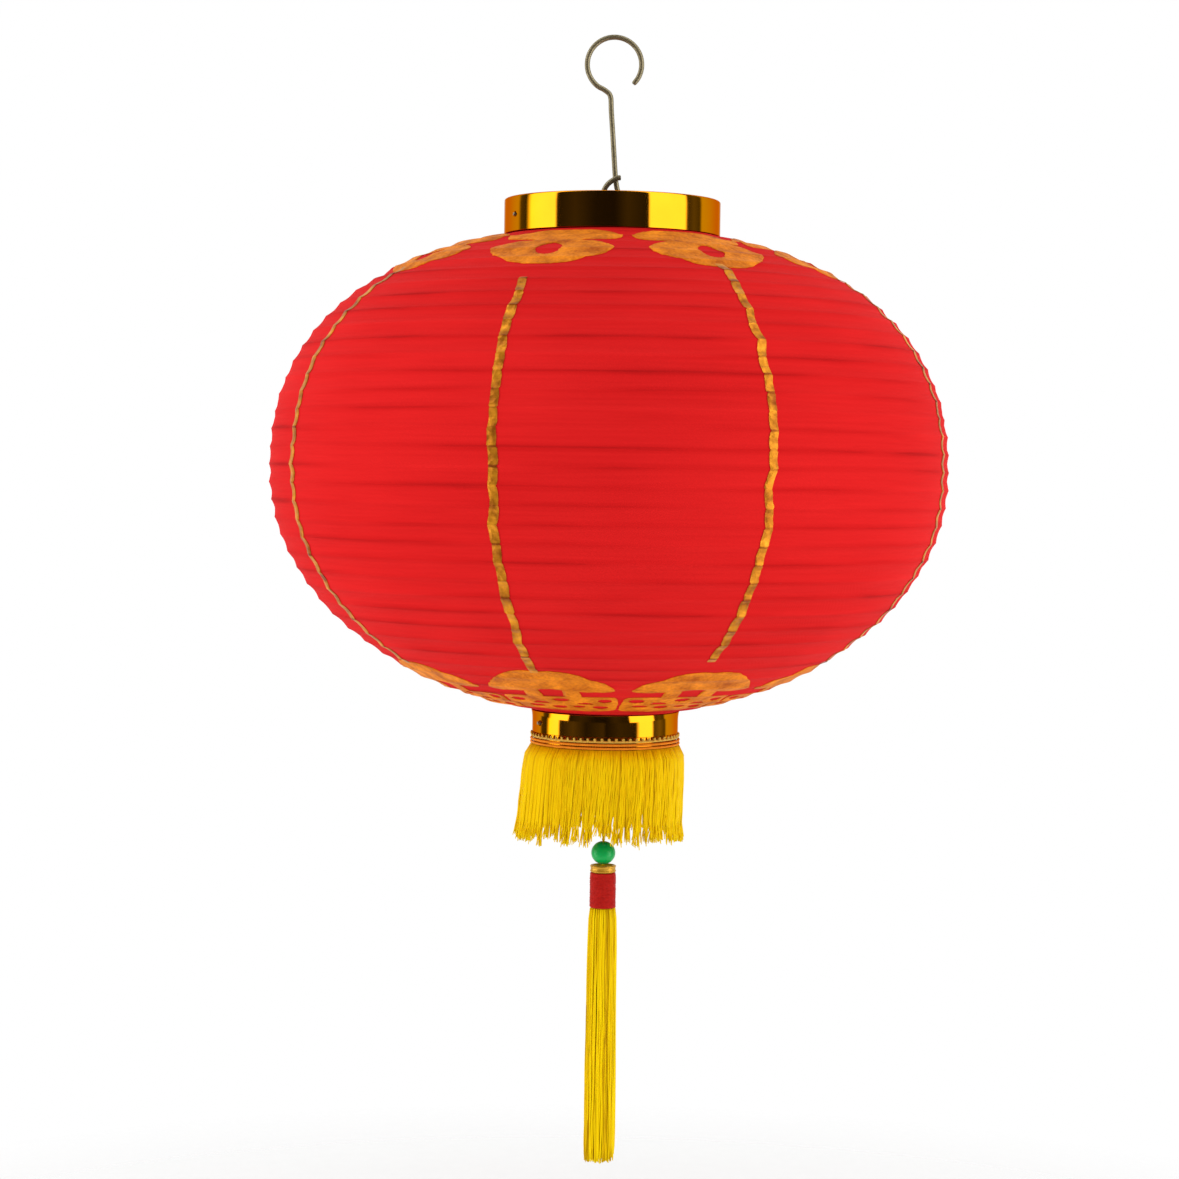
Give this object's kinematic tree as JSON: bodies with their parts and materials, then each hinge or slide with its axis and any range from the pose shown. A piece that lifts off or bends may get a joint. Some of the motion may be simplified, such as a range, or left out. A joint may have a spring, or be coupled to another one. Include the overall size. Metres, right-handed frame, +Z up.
{
  "type": "hanging lantern",
  "caption": "Folding round red cloth lantern with gold caps, wire hoops, a hanging hook, a bottom fringe and a beaded tassel.",
  "frame": {"origin": "the top of the inside of the hook's ring, where a nail, hook or line carries the lantern", "axes": "+Z up, along the lantern's axis; the two cross wires lie along X, so the lantern swings about X on the hook's eye"},
  "size_m": [0.3, 0.3, 0.5019],
  "materials": {
    "bent_steel_wire": "dull plated wire",
    "gold_mirror_foil": "mirror gold foil on card or plastic",
    "red_card": "matt",
    "red_nylon_cloth": "fine woven cloth, gold print",
    "thin_steel_wire": "drawn wire",
    "pale_gold_braid": "looped braid",
    "orange_gold_cord": "twisted metallic cord",
    "yellow_rayon_thread": "loose silky threads",
    "yellow_twisted_cord": "twisted cord",
    "green_plastic_bead": "polished",
    "gold_foil_band": "foil",
    "red_wound_thread": "wound thread"
  },
  "bodies": {
    "hook": {"hanging_hook": "bent_steel_wire"},
    "upper_frame": {"top_cap": "gold_mirror_foil", "top_end_ring": "red_card", "top_cross_wire": "bent_steel_wire", "lantern_skin": "red_nylon_cloth"},
    "hoop_01": {"hoop_01": "thin_steel_wire"},
    "hoop_02": {"hoop_02": "thin_steel_wire"},
    "hoop_03": {"hoop_03": "thin_steel_wire"},
    "hoop_04": {"hoop_04": "thin_steel_wire"},
    "hoop_05": {"hoop_05": "thin_steel_wire"},
    "hoop_06": {"hoop_06": "thin_steel_wire"},
    "hoop_07": {"hoop_07": "thin_steel_wire"},
    "hoop_08": {"hoop_08": "thin_steel_wire"},
    "hoop_09": {"hoop_09": "thin_steel_wire"},
    "hoop_10": {"hoop_10": "thin_steel_wire"},
    "hoop_11": {"hoop_11": "thin_steel_wire"},
    "hoop_12": {"hoop_12": "thin_steel_wire"},
    "hoop_13": {"hoop_13": "thin_steel_wire"},
    "hoop_14": {"hoop_14": "thin_steel_wire"},
    "hoop_15": {"hoop_15": "thin_steel_wire"},
    "hoop_16": {"hoop_16": "thin_steel_wire"},
    "hoop_17": {"hoop_17": "thin_steel_wire"},
    "hoop_18": {"hoop_18": "thin_steel_wire"},
    "hoop_19": {"hoop_19": "thin_steel_wire"},
    "hoop_20": {"hoop_20": "thin_steel_wire"},
    "hoop_21": {"hoop_21": "thin_steel_wire"},
    "hoop_22": {"hoop_22": "thin_steel_wire"},
    "hoop_23": {"hoop_23": "thin_steel_wire"},
    "hoop_24": {"hoop_24": "thin_steel_wire"},
    "hoop_25": {"hoop_25": "thin_steel_wire"},
    "hoop_26": {"hoop_26": "thin_steel_wire"},
    "hoop_27": {"hoop_27": "thin_steel_wire"},
    "hoop_28": {"hoop_28": "thin_steel_wire"},
    "hoop_29": {"hoop_29": "thin_steel_wire"},
    "hoop_30": {"hoop_30": "thin_steel_wire"},
    "hoop_31": {"hoop_31": "thin_steel_wire"},
    "hoop_32": {"hoop_32": "thin_steel_wire"},
    "hoop_33": {"hoop_33": "thin_steel_wire"},
    "hoop_34": {"hoop_34": "thin_steel_wire"},
    "hoop_35": {"hoop_35": "thin_steel_wire"},
    "hoop_36": {"hoop_36": "thin_steel_wire"},
    "lower_frame": {"bottom_end_ring": "red_card", "bottom_cap": "gold_mirror_foil", "bottom_cross_wire": "bent_steel_wire", "fringe_header": "pale_gold_braid", "gimp_cord_upper": "orange_gold_cord", "gimp_cord_lower": "orange_gold_cord", "fringe_skirt": "yellow_rayon_thread"},
    "tassel_hanger": {"tassel_loop": "yellow_twisted_cord", "tassel_knot": "yellow_twisted_cord"},
    "tassel": {"tassel_cord": "yellow_twisted_cord", "tassel_gold_band": "gold_foil_band", "tassel_wrap": "red_wound_thread", "tassel_skirt": "yellow_rayon_thread"},
    "bead": {"tassel_bead": "green_plastic_bead"}
  },
  "joints": [
    {"name": "lantern_swing", "type": "hinge", "parent": "hook", "child": "upper_frame", "pos_m": [0, 0, -0.0792], "axis": [1, 0, 0], "range_deg": [-75, 75]},
    {"name": "collapse", "type": "slide", "parent": "upper_frame", "child": "lower_frame", "axis": [0, 0, 1], "range_m": [0, 0.1677], "deforming": ["lantern_skin"]},
    {"name": "hoop_01_rise", "type": "slide", "parent": "upper_frame", "child": "hoop_01", "axis": [0, 0, 1], "range_m": [0, 0.00202]},
    {"name": "hoop_02_rise", "type": "slide", "parent": "upper_frame", "child": "hoop_02", "axis": [0, 0, 1], "range_m": [0, 0.00422]},
    {"name": "hoop_03_rise", "type": "slide", "parent": "upper_frame", "child": "hoop_03", "axis": [0, 0, 1], "range_m": [0, 0.00683]},
    {"name": "hoop_04_rise", "type": "slide", "parent": "upper_frame", "child": "hoop_04", "axis": [0, 0, 1], "range_m": [0, 0.00983]},
    {"name": "hoop_05_rise", "type": "slide", "parent": "upper_frame", "child": "hoop_05", "axis": [0, 0, 1], "range_m": [0, 0.01323]},
    {"name": "hoop_06_rise", "type": "slide", "parent": "upper_frame", "child": "hoop_06", "axis": [0, 0, 1], "range_m": [0, 0.01699]},
    {"name": "hoop_07_rise", "type": "slide", "parent": "upper_frame", "child": "hoop_07", "axis": [0, 0, 1], "range_m": [0, 0.02109]},
    {"name": "hoop_08_rise", "type": "slide", "parent": "upper_frame", "child": "hoop_08", "axis": [0, 0, 1], "range_m": [0, 0.02552]},
    {"name": "hoop_09_rise", "type": "slide", "parent": "upper_frame", "child": "hoop_09", "axis": [0, 0, 1], "range_m": [0, 0.03025]},
    {"name": "hoop_10_rise", "type": "slide", "parent": "upper_frame", "child": "hoop_10", "axis": [0, 0, 1], "range_m": [0, 0.03526]},
    {"name": "hoop_11_rise", "type": "slide", "parent": "upper_frame", "child": "hoop_11", "axis": [0, 0, 1], "range_m": [0, 0.04052]},
    {"name": "hoop_12_rise", "type": "slide", "parent": "upper_frame", "child": "hoop_12", "axis": [0, 0, 1], "range_m": [0, 0.04601]},
    {"name": "hoop_13_rise", "type": "slide", "parent": "upper_frame", "child": "hoop_13", "axis": [0, 0, 1], "range_m": [0, 0.05169]},
    {"name": "hoop_14_rise", "type": "slide", "parent": "upper_frame", "child": "hoop_14", "axis": [0, 0, 1], "range_m": [0, 0.05753]},
    {"name": "hoop_15_rise", "type": "slide", "parent": "upper_frame", "child": "hoop_15", "axis": [0, 0, 1], "range_m": [0, 0.06351]},
    {"name": "hoop_16_rise", "type": "slide", "parent": "upper_frame", "child": "hoop_16", "axis": [0, 0, 1], "range_m": [0, 0.0696]},
    {"name": "hoop_17_rise", "type": "slide", "parent": "upper_frame", "child": "hoop_17", "axis": [0, 0, 1], "range_m": [0, 0.07575]},
    {"name": "hoop_18_rise", "type": "slide", "parent": "upper_frame", "child": "hoop_18", "axis": [0, 0, 1], "range_m": [0, 0.08195]},
    {"name": "hoop_19_rise", "type": "slide", "parent": "upper_frame", "child": "hoop_19", "axis": [0, 0, 1], "range_m": [0, 0.08816]},
    {"name": "hoop_20_rise", "type": "slide", "parent": "upper_frame", "child": "hoop_20", "axis": [0, 0, 1], "range_m": [0, 0.09434]},
    {"name": "hoop_21_rise", "type": "slide", "parent": "upper_frame", "child": "hoop_21", "axis": [0, 0, 1], "range_m": [0, 0.10046]},
    {"name": "hoop_22_rise", "type": "slide", "parent": "upper_frame", "child": "hoop_22", "axis": [0, 0, 1], "range_m": [0, 0.1065]},
    {"name": "hoop_23_rise", "type": "slide", "parent": "upper_frame", "child": "hoop_23", "axis": [0, 0, 1], "range_m": [0, 0.11241]},
    {"name": "hoop_24_rise", "type": "slide", "parent": "upper_frame", "child": "hoop_24", "axis": [0, 0, 1], "range_m": [0, 0.11818]},
    {"name": "hoop_25_rise", "type": "slide", "parent": "upper_frame", "child": "hoop_25", "axis": [0, 0, 1], "range_m": [0, 0.12376]},
    {"name": "hoop_26_rise", "type": "slide", "parent": "upper_frame", "child": "hoop_26", "axis": [0, 0, 1], "range_m": [0, 0.12914]},
    {"name": "hoop_27_rise", "type": "slide", "parent": "upper_frame", "child": "hoop_27", "axis": [0, 0, 1], "range_m": [0, 0.13427]},
    {"name": "hoop_28_rise", "type": "slide", "parent": "upper_frame", "child": "hoop_28", "axis": [0, 0, 1], "range_m": [0, 0.13915]},
    {"name": "hoop_29_rise", "type": "slide", "parent": "upper_frame", "child": "hoop_29", "axis": [0, 0, 1], "range_m": [0, 0.14373]},
    {"name": "hoop_30_rise", "type": "slide", "parent": "upper_frame", "child": "hoop_30", "axis": [0, 0, 1], "range_m": [0, 0.148]},
    {"name": "hoop_31_rise", "type": "slide", "parent": "upper_frame", "child": "hoop_31", "axis": [0, 0, 1], "range_m": [0, 0.15193]},
    {"name": "hoop_32_rise", "type": "slide", "parent": "upper_frame", "child": "hoop_32", "axis": [0, 0, 1], "range_m": [0, 0.15551]},
    {"name": "hoop_33_rise", "type": "slide", "parent": "upper_frame", "child": "hoop_33", "axis": [0, 0, 1], "range_m": [0, 0.15871]},
    {"name": "hoop_34_rise", "type": "slide", "parent": "upper_frame", "child": "hoop_34", "axis": [0, 0, 1], "range_m": [0, 0.16152]},
    {"name": "hoop_35_rise", "type": "slide", "parent": "upper_frame", "child": "hoop_35", "axis": [0, 0, 1], "range_m": [0, 0.16392]},
    {"name": "hoop_36_rise", "type": "slide", "parent": "upper_frame", "child": "hoop_36", "axis": [0, 0, 1], "range_m": [0, 0.16591]},
    {"name": "tassel_swing_front_back", "type": "hinge", "parent": "lower_frame", "child": "tassel_hanger", "pos_m": [0, 0, -0.3014], "axis": [1, 0, 0], "range_deg": [-18, 18]},
    {"name": "tassel_swing_side", "type": "hinge", "parent": "tassel_hanger", "child": "tassel", "pos_m": [0, 0, -0.3174], "axis": [0, 1, 0], "range_deg": [-18, 18]},
    {"name": "bead_spin", "type": "hinge", "parent": "tassel", "child": "bead", "pos_m": [0, 0, -0.3605], "axis": [0, 0, 1], "continuous": true}
  ],
  "couplings": [
    {"joint": "hoop_01_rise", "follows": "collapse", "ratio": 0.012003},
    {"joint": "hoop_02_rise", "follows": "collapse", "ratio": 0.025105},
    {"joint": "hoop_03_rise", "follows": "collapse", "ratio": 0.04067},
    {"joint": "hoop_04_rise", "follows": "collapse", "ratio": 0.058615},
    {"joint": "hoop_05_rise", "follows": "collapse", "ratio": 0.078847},
    {"joint": "hoop_06_rise", "follows": "collapse", "ratio": 0.10126},
    {"joint": "hoop_07_rise", "follows": "collapse", "ratio": 0.12574},
    {"joint": "hoop_08_rise", "follows": "collapse", "ratio": 0.15216},
    {"joint": "hoop_09_rise", "follows": "collapse", "ratio": 0.18038},
    {"joint": "hoop_10_rise", "follows": "collapse", "ratio": 0.21025},
    {"joint": "hoop_11_rise", "follows": "collapse", "ratio": 0.24162},
    {"joint": "hoop_12_rise", "follows": "collapse", "ratio": 0.27432},
    {"joint": "hoop_13_rise", "follows": "collapse", "ratio": 0.30819},
    {"joint": "hoop_14_rise", "follows": "collapse", "ratio": 0.34304},
    {"joint": "hoop_15_rise", "follows": "collapse", "ratio": 0.3787},
    {"joint": "hoop_16_rise", "follows": "collapse", "ratio": 0.41498},
    {"joint": "hoop_17_rise", "follows": "collapse", "ratio": 0.4517},
    {"joint": "hoop_18_rise", "follows": "collapse", "ratio": 0.48865},
    {"joint": "hoop_19_rise", "follows": "collapse", "ratio": 0.52565},
    {"joint": "hoop_20_rise", "follows": "collapse", "ratio": 0.5625},
    {"joint": "hoop_21_rise", "follows": "collapse", "ratio": 0.59902},
    {"joint": "hoop_22_rise", "follows": "collapse", "ratio": 0.63501},
    {"joint": "hoop_23_rise", "follows": "collapse", "ratio": 0.67028},
    {"joint": "hoop_24_rise", "follows": "collapse", "ratio": 0.70466},
    {"joint": "hoop_25_rise", "follows": "collapse", "ratio": 0.73796},
    {"joint": "hoop_26_rise", "follows": "collapse", "ratio": 0.77001},
    {"joint": "hoop_27_rise", "follows": "collapse", "ratio": 0.80064},
    {"joint": "hoop_28_rise", "follows": "collapse", "ratio": 0.8297},
    {"joint": "hoop_29_rise", "follows": "collapse", "ratio": 0.85703},
    {"joint": "hoop_30_rise", "follows": "collapse", "ratio": 0.88248},
    {"joint": "hoop_31_rise", "follows": "collapse", "ratio": 0.90594},
    {"joint": "hoop_32_rise", "follows": "collapse", "ratio": 0.92727},
    {"joint": "hoop_33_rise", "follows": "collapse", "ratio": 0.94636},
    {"joint": "hoop_34_rise", "follows": "collapse", "ratio": 0.96312},
    {"joint": "hoop_35_rise", "follows": "collapse", "ratio": 0.97745},
    {"joint": "hoop_36_rise", "follows": "collapse", "ratio": 0.98929}
  ]
}
